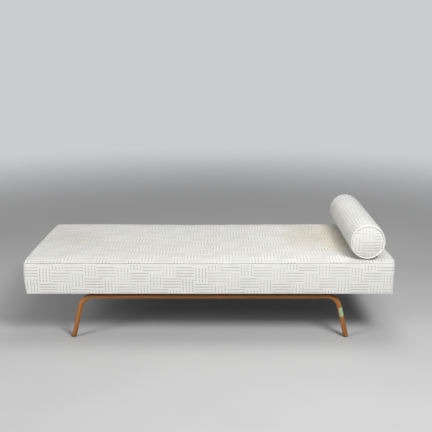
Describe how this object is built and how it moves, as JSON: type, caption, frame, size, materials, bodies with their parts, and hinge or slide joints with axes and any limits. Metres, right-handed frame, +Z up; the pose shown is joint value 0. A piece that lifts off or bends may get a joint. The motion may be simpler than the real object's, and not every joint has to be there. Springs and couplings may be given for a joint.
{
  "type": "daybed",
  "caption": "Upholstered daybed: box-shaped padded body in off-white herringbone cloth on bent round wooden frames with splayed legs, with a loose bolster that rolls along the top.",
  "frame": {"origin": "on the floor, below the middle of the upholstered body", "axes": "+X along the length towards the end where the bolster lies, +Y from front to rear, +Z up"},
  "size_m": [1.914, 0.7763, 0.6248],
  "materials": {
    "bent_beech": "satin",
    "stained_wood": "matte",
    "frame_timber": "matte",
    "woven_cloth": "matte",
    "dust_cloth": "matte",
    "hessian_cloth": "matte",
    "latex_foam": "matte",
    "bolster_filling": "matte",
    "strap_rubber": "matte",
    "zinc_steel": "satin",
    "glide_steel": "satin"
  },
  "bodies": {
    "daybed": {"dust_cover": "dust_cloth", "foam_pad": "latex_foam", "front_bent_frame": "bent_beech", "front_cover": "woven_cloth", "front_left_corner_block": "frame_timber", "front_left_frame_screw": "zinc_steel", "front_left_glide": "glide_steel", "front_left_saddle_block": "stained_wood", "front_middle_frame_screw": "zinc_steel", "front_middle_saddle_block": "stained_wood", "front_rail": "frame_timber", "front_right_corner_block": "frame_timber", "front_right_frame_screw": "zinc_steel", "front_right_glide": "glide_steel", "front_right_saddle_block": "stained_wood", "front_webbing_spline": "frame_timber", "hessian_sheet": "hessian_cloth", "left_cover": "woven_cloth", "left_cross_rail": "frame_timber", "left_end_rail": "frame_timber", "rear_bent_frame": "bent_beech", "rear_cover": "woven_cloth", "rear_left_corner_block": "frame_timber", "rear_left_frame_screw": "zinc_steel", "rear_left_glide": "glide_steel", "rear_left_saddle_block": "stained_wood", "rear_middle_frame_screw": "zinc_steel", "rear_middle_saddle_block": "stained_wood", "rear_rail": "frame_timber", "rear_right_corner_block": "frame_timber", "rear_right_frame_screw": "zinc_steel", "rear_right_glide": "glide_steel", "rear_right_saddle_block": "stained_wood", "rear_webbing_spline": "frame_timber", "right_cover": "woven_cloth", "right_cross_rail": "frame_timber", "right_end_rail": "frame_timber", "top_cover": "woven_cloth", "webbing_strap_01": "strap_rubber", "webbing_strap_02": "strap_rubber", "webbing_strap_03": "strap_rubber", "webbing_strap_04": "strap_rubber", "webbing_strap_05": "strap_rubber", "webbing_strap_06": "strap_rubber", "webbing_strap_07": "strap_rubber", "webbing_strap_08": "strap_rubber", "webbing_strap_09": "strap_rubber", "webbing_strap_10": "strap_rubber", "webbing_strap_11": "strap_rubber", "webbing_strap_12": "strap_rubber"},
    "bolster_filling": {"bolster_core": "bolster_filling"},
    "bolster_cover": {"bolster_barrel": "woven_cloth", "bolster_front_end": "woven_cloth", "bolster_rear_end": "woven_cloth", "bolster_front_welt": "woven_cloth", "bolster_rear_welt": "woven_cloth"}
  },
  "joints": [
    {"name": "bolster_travel", "type": "slide", "parent": "daybed", "child": "bolster_filling", "axis": [1, 0, 0], "range_m": [-1.63, 0.02]},
    {"name": "bolster_roll", "type": "hinge", "parent": "bolster_filling", "child": "bolster_cover", "pos_m": [0.8175, 0.004, 0.5328], "axis": [0.0244, 0.9997, 0], "range_deg": [-1014, 14]}
  ],
  "couplings": [
    {"joint": "bolster_roll", "follows": "bolster_travel", "rad_per_m": 10.831}
  ]
}
